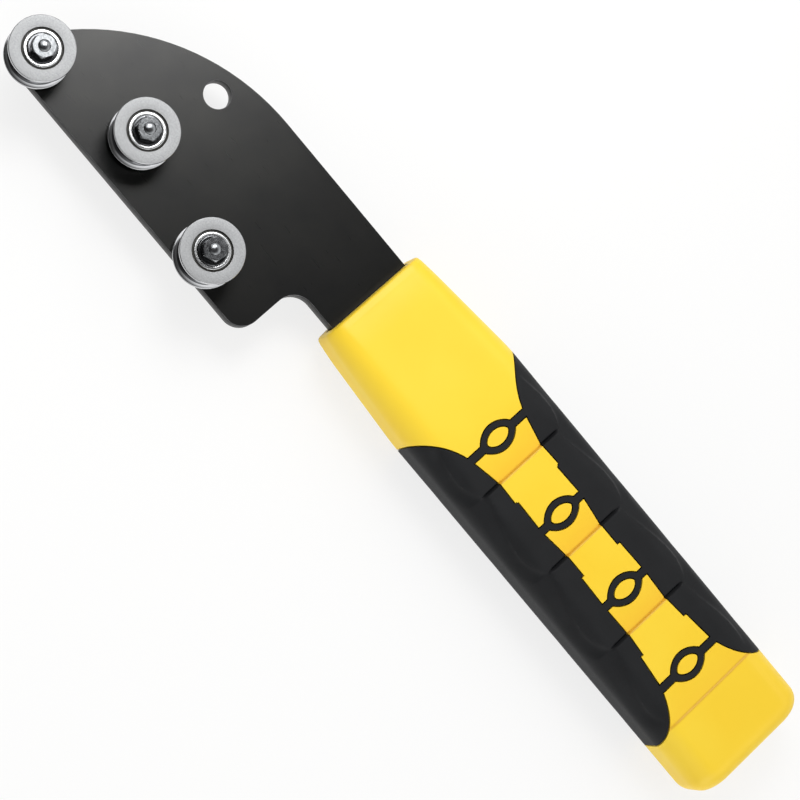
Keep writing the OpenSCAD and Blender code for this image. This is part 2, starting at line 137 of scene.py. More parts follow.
# Points of the stud's round tip: how far in from the thread, and how far below the top.
STUD_TIP_H, STUD_TIP = 0.35, ((0.05, 0.36), (0.3, 0.2), (0.75, 0.05))
NUT_EDGE = 0.08
TURNED_STEPS = 128
# Bands by which a face is told to be the shield's seat, painted with seam shade, a rim, or the part
# of a shield painted with seam shade.
SEAT_BAND, RIM_BAND, SHADE_BAND, LEVEL = 0.08, 0.9, 0.5, 0.98


# ---- Finishes ----

def linear(code):
    """Linear colour of an sRGB hex value."""
    parts = [int(code[i:i + 2], 16) / 255 for i in (1, 3, 5)]
    return (*[c / 12.92 if c <= 0.04045 else ((c + 0.055) / 1.055) ** 2.4 for c in parts], 1)


def fill(node, inputs):
    """Fills a node's inputs with values or with outputs of other nodes."""
    for name, value in inputs.items():
        if isinstance(value, bpy.types.NodeSocket):
            node.id_data.links.new(value, node.inputs[name])
        else:
            node.inputs[name].default_value = value
    return node


def put(tree, kind, inputs=None, **settings):
    """Adds a node with its settings and links."""
    made = tree.nodes.new(kind)
    for name, value in settings.items():
        setattr(made, name, value)
    return fill(made, inputs or {})


def finish(name, code, **sockets):
    """A material of one shader: the material, its shader, and object coordinates in metres."""
    made = bpy.data.materials.new(name)
    made.use_nodes = True
    made.diffuse_color = linear(code)
    shader = made.node_tree.nodes["Principled BSDF"]
    fill(shader, {"Base Color": linear(code)})
    fill(shader, {socket.replace("_", " "): value for socket, value in sockets.items()})
    return made, shader, put(made.node_tree, "ShaderNodeTexCoord").outputs["Object"]


def mottle(shader, place, lump_mm, colours=None, gloss=None, relief=None, detail=3.0):
    """Clouds a shader with lumps lump_mm across: colours is (hex, hex, start, end), gloss
    the least and greatest roughness, and relief (depth in mm, strength)."""
    tree = shader.id_data
    cloud = put(tree, "ShaderNodeTexNoise", {
        "Vector": place, "Scale": 1 / (lump_mm * MM), "Detail": detail, "Roughness": 0.55,
    }).outputs["Fac"]
    if colours:
        first, second, start, end = colours
        share = put(tree, "ShaderNodeMapRange", {
            "Value": cloud, "From Min": start, "From Max": end}).outputs["Result"]
        fill(shader, {"Base Color": put(tree, "ShaderNodeMix", {
            0: share, 6: linear(first), 7: linear(second)}, data_type="RGBA").outputs[2]})
    if gloss:
        fill(shader, {"Roughness": put(tree, "ShaderNodeMapRange", {
            "Value": cloud, "To Min": gloss[0], "To Max": gloss[1]}).outputs["Result"]})
    if relief:
        fill(shader, {"Normal": put(tree, "ShaderNodeBump", {
            "Height": cloud, "Distance": relief[0] * MM, "Strength": relief[1],
        }).outputs["Normal"]})


def black_oxide_steel():
    """Rolled plate, black oxide, oiled: a dark satin sheen that follows the light, with
    faint rolling streaks about 8 mm long."""
    made, shader, place = finish("black_oxide_steel", "#363636", Metallic=1.0)
    along = put(made.node_tree, "ShaderNodeMapping", {"Vector": place, "Scale": (0.06, 1, 1)})
    mottle(shader, along.outputs[0], 0.5, gloss=(0.265, 0.295))
    mottle(shader, place, 14, ("#343434", "#393938", 0.3, 0.7))
    return made


def sheared_wall_painted_shade():
    """Cut walls of the plate, blacked: duller than its faces and painted darker than them, as
    painted shade on the walls, with upright marks of the cut."""
    made, shader, place = finish("sheared_wall_painted_shade", "#1F1F1E", Metallic=1.0)
    upright = put(made.node_tree, "ShaderNodeMapping", {"Vector": place, "Scale": (1, 1, 0.15)})
    mottle(shader, upright.outputs[0], 0.6, gloss=(0.38, 0.52), relief=(0.01, 1.0))
    return made


def worn_oxide_edge():
    """Edge of the plate, where handling has rubbed the oxide: a thin line of grey steel,
    brighter in places."""
    made, shader, place = finish("worn_oxide_edge", "#77777A", Metallic=1.0, Roughness=0.3)
    mottle(shader, place, 3, ("#58585A", "#8E8E90", 0.35, 0.65))
    return made


def ground_bearing_steel(side, centre):
    """Side faces of a bearing ring, ground flat: matt light grey with fine round grinding
    about its own axis."""
    made, shader, place = finish(f"ground_bearing_steel_{side}", "#A7A8A9", Metallic=1.0)
    tree = made.node_tree
    place = put(tree, "ShaderNodeMapping", {"Vector": place, "Location": -centre}).outputs[0]
    reach = put(tree, "ShaderNodeVectorMath", {0: place}, operation="LENGTH").outputs["Value"]
    rings = put(tree, "ShaderNodeCombineXYZ", {"X": reach}).outputs[0]
    mottle(shader, rings, 0.22, gloss=(0.52, 0.66), relief=(0.003, 1.0), detail=2.0)
    mottle(shader, place, 0.35, ("#9C9D9E", "#B2B3B4", 0.3, 0.7))
    return made


def polished_bearing_steel():
    """Rims of a roller, hardened and polished: a mirror that shows every dark and bright
    band near it."""
    made, shader, place = finish("polished_bearing_steel", "#B9BABC", Metallic=1.0)
    mottle(shader, place, 1.5, gloss=(0.09, 0.19))
    return made


def painted_shade_steel():
    """Groove of a roller, and the inner rings: steel painted darker than the rims, as painted shade
    in the groove and round the nuts, with faint rings."""
    made, shader, place = finish("painted_shade_steel", "#5E5F61", Metallic=1.0, Roughness=0.14)
    rings = put(made.node_tree, "ShaderNodeMapping", {"Vector": place, "Scale": (0.3, 0.3, 2)})
    mottle(shader, rings.outputs[0], 0.5, ("#525355", "#6C6D6F", 0.35, 0.65))
    return made


def pressed_steel_sheet():
    """Bright cold-rolled sheet, drawn into a ring: smooth and light, with slight waviness."""
    made, shader, place = finish("pressed_steel_sheet", "#DCDDDE", Metallic=1.0)
    mottle(shader, place, 0.8, gloss=(0.18, 0.32), relief=(0.002, 1.0))
    return made


def painted_seam_shade():
    """Painted shade in the seam between shield and ring: a dark line, glossier in places."""
    made, shader, place = finish("painted_seam_shade", "#26251F")
    mottle(shader, place, 0.5, gloss=(0.3, 0.7))
    return made


def bright_zinc_plate():
    """Bright zinc on turned steel: a cool grey shine with small scuffs."""
    made, shader, place = finish("bright_zinc_plate", "#818385", Metallic=1.0)
    mottle(shader, place, 0.7, ("#737577", "#8E9092", 0.35, 0.65), (0.16, 0.28), detail=5.0)
    return made


def yellow_zinc_plate():
    """Yellow chromated zinc: a dull brass-like tint, patchy from the bath."""
    made, shader, place = finish("yellow_zinc_plate", "#B7A874", Metallic=1.0, Roughness=0.33)
    mottle(shader, place, 2.2, ("#B9B08F", "#B59B54", 0.3, 0.7))
    return made


def mirror_ball_steel():
    """Bearing balls, lapped: a full mirror."""
    made, shader, place = finish("mirror_ball_steel", "#DADBDD", Metallic=1.0)
    mottle(shader, place, 0.4, gloss=(0.03, 0.08))
    return made


def natural_nylon():
    """Cages moulded in uncoloured nylon: milky and slightly waxy."""
    made, shader, place = finish("natural_nylon", "#D9D0B2", Roughness=0.45, IOR=1.53,
                                 Subsurface_Weight=0.2, Subsurface_Scale=0.001)
    mottle(shader, place, 0.4, relief=(0.01, 1.0))
    return made


def moulded_polypropylene():
    """Yellow moulded polypropylene: warm and satin, with painted shade: a deeper orange painted
    where the surface dips towards a crease, and a painted shaded line at each crease. Its sparked
    texture is about 0.1 mm on the real one, and is drawn at 0.35 mm so that it shows."""
    made, shader, place = finish("moulded_polypropylene", "#FBD532", IOR=1.49,
                                 Specular_IOR_Level=0.4)
    tree = made.node_tree
    cloud = put(tree, "ShaderNodeTexNoise", {
        "Vector": place, "Scale": 1 / (28 * MM), "Detail": 2, "Roughness": 0.55}).outputs["Fac"]
    colour = linear("#FBD22E")
    share = put(tree, "ShaderNodeMapRange", {
        "Value": cloud, "From Min": 0.35, "From Max": 0.65}).outputs["Result"]
    dip_shade = put(tree, "ShaderNodeAttribute", attribute_name="dip_shade").outputs["Fac"]
    line = put(tree, "ShaderNodeAttribute", attribute_name="line").outputs["Fac"]
    # Painted shade: a deeper orange where the surface dips towards a crease, and a darker painted
    # line at each crease.
    for amount, tint in ((share, "#FDD93A"), (dip_shade, "#F8C42A"), (line, "#D99C28")):
        colour = put(tree, "ShaderNodeMix", {0: amount, 6: colour, 7: linear(tint)},
                     data_type="RGBA").outputs[2]
    fill(shader, {"Base Color": colour})
    mottle(shader, place, 0.35, gloss=(0.38, 0.5), relief=(0.02, 0.6), detail=4.0)
    return made


def moulded_rubber():
    """Black thermoplastic rubber, moulded: matt and dark grey. Its fine pebbling is drawn
    at 0.45 mm so that it shows."""
    made, shader, place = finish("moulded_rubber", "#161719", IOR=1.5, Specular_IOR_Level=0.26)
    mottle(shader, place, 9, ("#141517", "#18191B", 0.35, 0.65))
    mottle(shader, place, 0.45, gloss=(0.52, 0.68), relief=(0.03, 0.6))
    return made


# ---- Making pieces ----

def piece(name, bm, body, node, materials, smooth_deg=35, plates=False):
    """Turns a bmesh drawn in mm into a finished piece in metres that rides on its body and
    stands for a CAD node; plates keeps its level faces flat right up to their edges."""
    bmesh.ops.scale(bm, vec=(MM, MM, MM), verts=bm.verts)
    mesh = bpy.data.meshes.new(name)
    bm.to_mesh(mesh)
    bm.free()
    mesh.shade_smooth()
    mesh.set_sharp_from_angle(angle=math.radians(smooth_deg))
    if plates:
        for face in mesh.polygons:
            face.use_smooth = abs(face.normal.z) < 0.999
    for material in materials:
        mesh.materials.append(material)
    made = bpy.data.objects.new(name, mesh)
    scene.collection.objects.link(made)
    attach(made, body)
    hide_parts(node)
    return made


def arc(centre, radius, start, end, steps):
    """Points of an arc in a profile, angles in degrees."""
    turns = [math.radians(start + (end - start) * i / steps) for i in range(steps + 1)]
    return [(centre[0] + radius * math.cos(a), centre[1] + radius * math.sin(a)) for a in turns]


def bend(a, b, c, steps=14):
    """Points of a curve from a to c, pulled towards b."""
    a, b, c = Vector(a), Vector(b), Vector(c)
    return [(1 - t) ** 2 * a + 2 * t * (1 - t) * b + t * t * c
            for t in (i / steps for i in range(steps + 1))]


def rounded(points, radius, steps=4):
    """A closed profile; a corner given as (r, z, share) is rounded by that share of the
    radius."""
    out = []
    for i, p in enumerate(points):
        here = Vector(p[:2])
        if len(p) < 3:
            out.append(tuple(here))
            continue
        to_last = (Vector(points[i - 1][:2]) - here).normalized()
        to_next = (Vector(points[(i + 1) % len(points)][:2]) - here).normalized()
        size = radius * p[2]
        out += [tuple(q) for q in bend(here + to_last * size, here, here + to_next * size, steps)]
    return out


def turned(profile, centre, closed=True):
    """A turned piece: a profile of (radius, height) points spun about a vertical axis."""
    bm = bmesh.new()
    corners = [bm.verts.new((r, 0, z)) for r, z in profile]
    ends = corners[1:] + corners[:1] if closed else corners[1:]
    edges = [bm.edges.new(pair) for pair in zip(corners, ends)]
    bmesh.ops.spin(bm, geom=corners + edges, axis=(0, 0, 1), cent=(0, 0, 0),
                   angle=math.radians(360), steps=TURNED_STEPS, use_merge=True)
    bmesh.ops.remove_doubles(bm, verts=bm.verts, dist=0.0005)
    bmesh.ops.recalc_face_normals(bm, faces=bm.faces)
    bmesh.ops.translate(bm, vec=centre, verts=bm.verts)
    return bm


def node_copy(node, edge_mm, edge_deg, edge_slot=0, wall_slot=0):
    """A copy of a CAD node's solid with the edges sharper than edge_deg broken, and the
    material slots of these edges and of its upright walls."""
    bm = bmesh.new()
    bm.from_mesh(cad_nodes[node].data)
    bmesh.ops.scale(bm, vec=(1 / MM,) * 3, verts=bm.verts)
    bmesh.ops.remove_doubles(bm, verts=bm.verts, dist=0.0005)
    bmesh.ops.dissolve_limit(bm, angle_limit=math.radians(1), verts=bm.verts, edges=bm.edges)
    sharp = [e for e in bm.edges
             if len(e.link_faces) == 2 and e.calc_face_angle() > math.radians(edge_deg)]
    broken = set(bmesh.ops.bevel(bm, geom=sharp, offset=edge_mm, segments=2, profile=0.5,
                                 affect="EDGES", material=-1, clamp_overlap=True)["faces"])
    for face in bm.faces:
        upright = abs(face.normal.z) < 0.5
        face.material_index = edge_slot if face in broken else wall_slot if upright else 0
    return bm


def loose(bm, name="tool"):
    """An object of its own, for the floor or for cutting and joining others."""
    mesh = bpy.data.meshes.new(name)
    bm.to_mesh(mesh)
    bm.free()
    made = bpy.data.objects.new(name, mesh)
    scene.collection.objects.link(made)
    return made


def combined(base, *steps):
    """Result of joining, cutting or crossing base with other bmeshes, as a bmesh."""
    base = loose(base)
    others = [loose(other) for _, other in steps]
    for (kind, _), other in zip(steps, others):
        made = base.modifiers.new(kind, "BOOLEAN")
        made.operation, made.object, made.solver = kind, other, "MANIFOLD"
    bpy.context.view_layer.update()
    shown = base.evaluated_get(bpy.context.evaluated_depsgraph_get())
    bm = bmesh.new()
    bm.from_mesh(shown.to_mesh())
    shown.to_mesh_clear()
    for used in [base] + others:
        bpy.data.objects.remove(used)
    return bm


def block(low, high, edge=0.0):
    """A block between two corners, its edges rounded."""
    bm = bmesh.new()
    bmesh.ops.create_cube(bm, size=1)
    bmesh.ops.scale(bm, vec=[b - a for a, b in zip(low, high)], verts=bm.verts)
    bmesh.ops.translate(bm, vec=[(a + b) / 2 for a, b in zip(low, high)], verts=bm.verts)
    if edge:
        bmesh.ops.bevel(bm, geom=bm.edges, offset=edge, segments=3, profile=0.5,
                        affect="EDGES", material=-1)
    return bm


# ---- Handle: outline of the grip ----

def strip_half(x):
    """Half width of the bare yellow strip at x."""
    middle, span = (LINKS[0] + LINKS[-1]) / 2, (LINKS[-1] - LINKS[0]) / 2
    return STRIP_MIDDLE + (STRIP_END - STRIP_MIDDLE) * ((x - middle) / span) ** 2


def grip_outline():
    """Plan of the grip on the +y side of the strip."""
    side = HANDLE_W / 2 + BODY_SHIFT + CUT_OVERSHOOT
    points = bend((GRIP_START, side), (GRIP_START + FRONT_PULL[0], FRONT_PULL[1]),
                  (LINKS[0], STRIP_END))
    for crease, link in zip(CREASES, LINKS[1:]):
        behind = crease + TOOTH_LEN
        points += [Vector(p) for p in (
            (crease, strip_half(crease) - TOOTH), (behind, strip_half(behind) - TOOTH),
            (behind, strip_half(behind)), (link, strip_half(link)))]
    return points + bend((LINKS[-1], STRIP_END), (GRIP_END + REAR_PULL[0], REAR_PULL[1]),
                         (GRIP_END, side))


def grown(points, by):
    """A closed outline moved outwards by a distance; a negative one moves it inwards."""
    area = sum(a.x * b.y - b.x * a.y for a, b in zip(points, points[1:] + points[:1]))
    out = []
    for last, here, following in zip(points[-1:] + points[:-1], points, points[1:] + points[:1]):
        normals = []
        for a, b in ((last, here), (here, following)):
            along = (b - a).normalized()
            normals.append(Vector((along.y, -along.x)) * (1 if area > 0 else -1))
        both = normals[0] + normals[1]
        out.append(here + both * by / max(both.dot(normals[0]), 0.6))
    return out


def oval(width, length, fullness, steps=24):
    """An oval about the origin, length across the handle; its ends are pointed at a
    fullness of 1 and round at 0.5."""
    turns = [math.radians(180 * i / steps - 90) for i in range(steps + 1)]
    right = [Vector((width / 2 * max(math.cos(a), 0) ** (2 * fullness),
                     length / 2 * math.sin(a))) for a in turns]
    return right + [Vector((-p.x, p.y)) for p in right[-2:0:-1]]


def prisms(outlines):
    """Upright prisms from outlines, tall enough to pass through the handle."""
    bm = bmesh.new()
    for outline in outlines:
        corners = [bm.verts.new((p.x, p.y, -HANDLE_T)) for p in outline]
        base = bmesh.ops.contextual_create(bm, geom=corners)["faces"]
        raised = bmesh.ops.extrude_face_region(bm, geom=base)["geom"]
        bmesh.ops.translate(bm, vec=(0, 0, 2 * HANDLE_T),
                            verts=[v for v in raised if isinstance(v, bmesh.types.BMVert)])
    bmesh.ops.recalc_face_normals(bm, faces=bm.faces)
    return bm


def link_pattern(by):
    """Everything under the grip's outline, its outline moved out by a distance."""
    side = grip_outline()
    halves = [grown(side, by), grown([Vector((p.x, -p.y)) for p in side], by)]
    half = STEM_W / 2 + by
    stem = [Vector(p) for p in ((-half, -STEM_REACH), (half, -STEM_REACH),
                                (half, STEM_REACH), (-half, STEM_REACH))]
    ring = grown(oval(RING_W, RING_LEN, RING_FULLNESS), by)
    eye = grown(oval(EYE_W, EYE_LEN, EYE_FULLNESS), -by)
    stems, rings, eyes = [prisms([[Vector((x, 0)) + p for p in shape] for x in LINKS])
                          for shape in (stem, ring, eye)]
    return combined(prisms(halves), ("UNION", stems), ("UNION", rings), ("DIFFERENCE", eyes))


# ---- Handle: outer form ----

def ramp(value, start, end):
    """Smooth rise from 0 at start to 1 at end."""
    t = min(max((value - start) / (end - start), 0), 1)
    return t * t * (3 - 2 * t)


def soft_least(a, b, soft=0.25):
    """The lesser of two heights, with a small round where they cross."""
    h = max(soft - abs(a - b), 0) / soft
    return min(a, b) - h * h * soft / 4


def knot_values(x):
    """Width, thickness, edge radius and shift between the handle's sections."""
    x = min(max(x, 0.0), HANDLE_LEN)
    a, b = next(pair for pair in zip(KNOTS, KNOTS[1:]) if x <= pair[1][0])
    t = (x - a[0]) / (b[0] - a[0])
    return [p + (q - p) * t for p, q in zip(a[1:], b[1:])]


def eased_values(x, count=7):
    """The same values, eased over the bends between sections."""
    near = [knot_values(x + BEND_EASE * (2 * i / (count - 1) - 1)) for i in range(count)]
    return [sum(v) / count for v in zip(*near)]


def hollow(x):
    """Depth of the hollows at x: a long run down to each crease, then a step back up."""
    depth = 0.0
    for crease in CREASES:
        ahead = crease - x
        full = CREASE_DEPTH * (LAST_CREASE_SHARE if crease == CREASES[-1] else 1.0)
        if 0 <= ahead < HOLLOW_LEN:
            depth = max(depth, full * (1 - ahead / HOLLOW_LEN) ** 2)
        elif -CREASE_STEP < ahead < 0:
            depth = max(depth, full * (1 + ahead / CREASE_STEP) ** 2)
    return depth


def crease_cut(x, y):
    """Depth of the sharp creases in the soft pads beside the strip."""
    nearest = min(CREASES[:-1], key=lambda c: abs(c - x))
    wide = max(0.0, 1 - abs(x - nearest) / CUT_HALF_W)
    inside, outside = strip_half(nearest) - CUT_INSIDE, strip_half(nearest) + CUT_OUTSIDE
    along = (min(max((abs(y) - inside) / CUT_FADE_IN, 0), 1)
             * min(max((outside - abs(y)) / CUT_FADE_OUT, 0), 1))
    return CUT_DEPTH * wide * along


def pad_valley(x, across):
    """Depth of the valley that runs round each soft pad; across is the distance from the
    handle's axis along its surface."""
    u = ((x - CREASES[0]) / LINK_PITCH) % 1
    beyond = across - PAD_EDGE - PAD_BULGE * math.sin(math.pi * u * u) ** 0.7
    ends = ramp(x, *PADS_BEGIN) * (1 - ramp(x, *PADS_END))
    return PAD_DEPTH * ramp(beyond, *VALLEY_RISE) * (1 - ramp(beyond, *VALLEY_FALL)) * ends


def sunk_round_pads(x, y, z):
    """A surface point of the handle, sunk into the valleys round the pads."""
    w, t, r, shift = eased_values(x)
    flat = Vector((min(max(y - shift, r - w / 2), w / 2 - r), min(max(z, r - t / 2), t / 2 - r)))
    out = Vector((y - shift, z)) - flat
    if out.length < 1e-6 or abs(z) < 1:
        return y, z
    turn = math.atan2(abs(out.x), abs(out.y))
    move = out.normalized() * pad_valley(x, abs(flat.x) + r * turn)
    return y - move.x, z - move.y


def creased(x, y, z):
    """A point of the upper or lower face, lowered to the hollows and creases."""
    level = soft_least(abs(z), HANDLE_T / 2 - hollow(x))
    return math.copysign(1, z) * (level - crease_cut(x, y))


def section_points(w, t, r, shift, around):
    """Points round a rectangle with round corners: around is (flat, corner, side) steps."""
    flat, corner, side = around
    points = []
    for quarter, (sx, sy) in enumerate(((1, 1), (-1, 1), (-1, -1), (1, -1))):
        points += [(sx * (w / 2 - r) + r * math.cos(a), sy * (t / 2 - r) + r * math.sin(a))
                   for a in (math.radians(90 * (quarter + k / corner)) for k in range(corner + 1))]
        start = points[-1]
        steps = side if quarter % 2 else flat
        nx, ny = ((-1, 1), (-1, -1), (1, -1), (1, 1))[quarter]
        end = (nx * (w / 2 - r), start[1]) if quarter % 2 == 0 else (start[0], ny * (t / 2 - r))
        points += [(start[0] + (end[0] - start[0]) * k / steps,
                    start[1] + (end[1] - start[1]) * k / steps) for k in range(1, steps)]
    return [(y + shift, z) for y, z in points]


def handle_section(x, inset, around):
    """Points of the handle's section at x, with its rounded ends."""
    w, t, r, shift = eased_values(x)
    sink = 0.0
    if x < FRONT_LIP:
        w, t, r, shift = FRONT_W, FRONT_T, FRONT_EDGE, 0.0
        sink = FRONT_LIP * (1 - math.sqrt(max(0, 1 - (1 - x / FRONT_LIP) ** 2)))
    if x > REAR_X:
        reach = min((x - REAR_X) / REAR_R, 1)
        sink = REAR_R * (1 - math.sqrt(max(0, 1 - reach ** 2)))
        r *= 1 - 2 * sink / t
    w, t, r = w - 2 * (sink + inset), t - 2 * (sink + inset), max(r - inset, 0.3)
    return section_points(w, t, r, shift, around)


def stations():
    """Places of the handle's sections, closer together at its ends and creases."""
    places = [FRONT_LIP * (1 - math.cos(math.radians(90 * i / 5))) for i in range(6)]
    count = int((REAR_X - FRONT_LIP) / STATION_STEP)
    places += [FRONT_LIP + (REAR_X - FRONT_LIP) * i / count for i in range(1, count + 1)]
    places += [REAR_X + REAR_R * math.sin(math.radians(90 * i / 10)) for i in range(1, 11)]
    near = [c + d for c in CREASES for d in CREASE_STATIONS]
    return sorted([x for x in places if all(abs(x - n) > STATION_GAP for n in near)] + near)


def next_loop(bm, loop, edges):
    """Extrudes a loop of edges: its new vertices, in the order of the old ones, and edges."""
    made = bmesh.ops.extrude_edge_only(bm, edges=edges)["geom"]
    fresh = {g for g in made if isinstance(g, bmesh.types.BMVert)}
    after = [next(e.other_vert(v) for e in v.link_edges if e.other_vert(v) in fresh)
             for v in loop]
    return after, [g for g in made if isinstance(g, bmesh.types.BMEdge)
                   and all(v in fresh for v in g.verts)]


def handle_form(inset=0.0, plain=False):
    """The handle's closed form about its own axis, front end at x = 0: its outside with
    hollows, creases and pads, or a plain form inset from it."""
    bm = bmesh.new()
    around = PLAIN_STEPS if plain else OUTER_STEPS
    loop = None
    for x in PLAIN_STATIONS if plain else stations():
        points = handle_section(x, inset, around)
        if loop is None:
            loop = bmesh.ops.create_circle(bm, segments=len(points), radius=1)["verts"]
            edges = front = list(bm.edges)
        else:
            loop, edges = next_loop(bm, loop, edges)
        at = min(max(x, inset), HANDLE_LEN - REAR_BULGE - inset)
        for v, (y, z) in zip(loop, points):
            if not plain:
                y, z = sunk_round_pads(x, y, z)
                z = creased(x, y, z) if abs(z) > FACE_Z else z
            v.co = (at, y, z)
    if not plain:
        was = 1.0
        for share in DOME_SHARES:
            loop, edges = next_loop(bm, loop, edges)
            for v in loop:
                v.co = (HANDLE_LEN - REAR_BULGE * share ** 2,
                        BODY_SHIFT + (v.co.y - BODY_SHIFT) * share / was, v.co.z * share / was)
            was = share
    bmesh.ops.contextual_create(bm, geom=edges)
    bmesh.ops.contextual_create(bm, geom=front)
    bmesh.ops.recalc_face_normals(bm, faces=bm.faces)
    return bm


# ---- Handle: its two pieces ----

def mark_painted_crease_shade(mesh, origin):
    """Stores where painted shade goes on the yellow, both from 0 to 1: how far the surface has sunk
    towards a crease, for a painted orange shade, and where the painted shaded line of the crease
    itself runs."""
    dip_shades = mesh.attributes.new("dip_shade", "FLOAT", "POINT")
    line_shades = mesh.attributes.new("line", "FLOAT", "POINT")
    for v in mesh.vertices:
        x = v.co.x / MM - origin.x
        if abs(v.co.z) / MM > HANDLE_T / 2 - CREASE_DEPTH - FACE_MARGIN:
            near = min(abs(x - crease - LINE_OFFSET) for crease in CREASES)
            full = LAST_LINE_SHARE if x > LINKS[-1] else LINE_SHARE
            dip_shades.data[v.index].value = hollow(x) / CREASE_DEPTH
            line_shades.data[v.index].value = full * (1 - ramp(near, *LINE_FADE))


def make_handle(yellow, black):
    """The two-colour handle: a hard core and soft grips with a fine seam between them."""
    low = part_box("handle_core")[0] / MM
    origin = Vector((low.x, BLADE_BACK_Y - TANG_W / 2, 0))
    mouth_y, mouth_z = (TANG_W + MOUTH_GAP) / 2, BLADE_T / 2 + MOUTH_GAP
    slit_z = mouth_z + SLIT_REACH
    slits = [block((-CUT_OVERSHOOT, y - SLIT_W / 2, -slit_z), (MOUTH_DEPTH, y + SLIT_W / 2, slit_z))
             for y in (-SLIT_OFFSET, SLIT_OFFSET)]
    mouth = block((-CUT_OVERSHOOT, -mouth_y, -mouth_z), (MOUTH_DEPTH, mouth_y, mouth_z), MOUTH_EDGE)
    core = combined(handle_form(), ("DIFFERENCE", link_pattern(SEAM)),
                    ("UNION", handle_form(GRIP_DEPTH, plain=True)), ("DIFFERENCE", mouth),
                    *[("DIFFERENCE", slit) for slit in slits])
    grip = combined(handle_form(), ("INTERSECT", link_pattern(-SEAM)),
                    ("DIFFERENCE", handle_form(GRIP_DEPTH, plain=True)))
    for bm in (core, grip):
        bmesh.ops.translate(bm, vec=origin, verts=bm.verts)
    hard = piece("handle_core_moulded", core, "frame", "handle_core", [yellow])
    mark_painted_crease_shade(hard.data, origin)
    piece("handle_grip_moulded", grip, "frame", "handle_grip", [black])


# ---- Rollers ----

def tracks(middle_deg, rows, land_r):
    """Sections of a ring's two ball tracks, cut into its land of radius land_r; the middle
    of each track is at middle_deg on its circle."""
    reach = math.degrees(math.acos(abs(land_r - BALL_CIRCLE_R) / TRACK_R))
    return [p for z in rows for p in arc((BALL_CIRCLE_R, z), TRACK_R, middle_deg - reach,
                                         middle_deg + reach, 10)]


def roller_profile():
    """Section of a grooved outer ring, tracks inside and U groove outside."""
    half, mouth = ROLLER_W / 2, ROLLER_W / 2 - RIM_W
    groove_r = (mouth ** 2 + GROOVE_DEPTH ** 2) / (2 * GROOVE_DEPTH)
    reach = math.degrees(math.asin(mouth / groove_r))
    upper = [(OUTER_LAND_R, half - SHIELD_SEAT), (SHIELD_R, half - SHIELD_SEAT),
             (SHIELD_R, half, 0.5), (ROLLER_R, half, 1), (ROLLER_R, mouth, 0.4)]
    groove = arc((ROLLER_R - GROOVE_DEPTH + groove_r, 0), groove_r, 180 - reach, 180 + reach,
                 40)[1:-1]
    lower = [(p[0], -p[1], *p[2:]) for p in reversed(upper)]
    inside = tracks(0, (-BALL_ROW, BALL_ROW), OUTER_LAND_R)
    return rounded(upper + groove + lower + inside, RIM_ROUND)


def inner_ring_profile():
    """Section of an inner ring, chamfered, with its two tracks."""
    half = ROLLER_W / 2 + RING_PROUD
    outside = tracks(180, (BALL_ROW, -BALL_ROW), INNER_LAND_R)
    return rounded([(BORE_R, -half), (BORE_R, half, 0.6), (INNER_LAND_R, half, 1)]
                   + outside + [(INNER_LAND_R, -half, 1)], RING_ROUND)


def shield_profile(side):
    """Section of a pressed shield, its disc raised from a sunk rim."""
    seat, top = ROLLER_W / 2 - SHIELD_SEAT, ROLLER_W / 2 - SHIELD_SUNK
    rim, step = SHIELD_R - 0.01, SHIELD_R - SHIELD_RIM
    points = [(SHIELD_BORE_R, top - SHIELD_T, 0.4), (SHIELD_BORE_R, top, 0.6), (step, top, 1.2),
              (step, seat + SHIELD_T, 0.5), (rim, seat + SHIELD_T, 0.5), (rim, seat),
              (step - SHIELD_T, seat, 0.4), (step - SHIELD_T, top - SHIELD_T, 0.3)]
    return rounded([(p[0], side * p[1], *p[2:]) for p in points], SHIELD_ROUND, 3)


def stud_profile(low, high):
    """Section of a stud: domed head below the blade, shank, and threaded end."""
    rim, under = low + STUD_DOME_H, low + STUD_DOME_H + STUD_RIM_H
    shoulder = high - STUD_END_LEN
    dome_r = (STUD_HEAD_R ** 2 + STUD_DOME_H ** 2) / (2 * STUD_DOME_H)
    reach = math.degrees(math.asin(STUD_HEAD_R / dome_r))
    points = arc((0, low + dome_r), dome_r, -90, -90 + reach, 10)
    points += [(STUD_HEAD_R, under - STUD_BREAK), (STUD_HEAD_R - STUD_BREAK, under),
               (STUD_SHANK_R, under), (STUD_SHANK_R, shoulder - STUD_BREAK),
               (STUD_SHANK_R - STUD_BREAK, shoulder), (STUD_END_R, shoulder)]
    z = shoulder + STUD_NECK
    while z + THREAD_PITCH < high - STUD_TIP_H:
        points += [(STUD_END_R, z), (STUD_END_R - THREAD_DEPTH, z + THREAD_PITCH / 2)]
        z += THREAD_PITCH
    tip = [(STUD_END_R - inwards, high - below) for inwards, below in STUD_TIP]
    return points + [(STUD_END_R, z)] + tip + [(0, high)]


